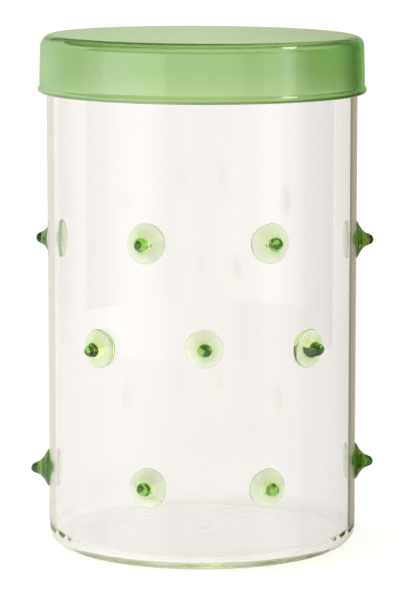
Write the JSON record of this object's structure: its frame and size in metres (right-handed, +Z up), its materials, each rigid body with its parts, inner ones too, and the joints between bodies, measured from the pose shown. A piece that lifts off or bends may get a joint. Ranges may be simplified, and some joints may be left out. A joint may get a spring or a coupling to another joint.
{
  "type": "lidded glass jar",
  "caption": "Clear round glass jar with a lift-off green glass cap and green glass studs fused to its outside, for storage on a salon counter.",
  "frame": {"origin": "centre of the flat base, on the surface that the jar stands on", "axes": "+Z up along the jar's axis, -Y towards the side with the studs, +X to the right seen from that side"},
  "size_m": [0.1121, 0.1087, 0.1655],
  "materials": {
    "clear_glass": "clear, very slightly warm, fire-polished",
    "green_glass_lid": "transparent yellow-green, glossy",
    "green_glass_stud": "transparent yellow-green, glossy, fused"
  },
  "bodies": {
    "jar": {"jar_body": "clear_glass", "stud_upper_left_side": "green_glass_stud", "stud_upper_front_left": "green_glass_stud", "stud_upper_front_right": "green_glass_stud", "stud_upper_right_side": "green_glass_stud", "stud_middle_left": "green_glass_stud", "stud_middle_front": "green_glass_stud", "stud_middle_right": "green_glass_stud", "stud_lower_left_side": "green_glass_stud", "stud_lower_front_left": "green_glass_stud", "stud_lower_front_right": "green_glass_stud", "stud_lower_right_side": "green_glass_stud"},
    "cap": {"lid": "green_glass_lid"}
  },
  "joints": [
    {"name": "lid_lift", "type": "slide", "parent": "jar", "child": "cap", "axis": [0, 0, 1], "range_m": [0, 0.05]}
  ]
}
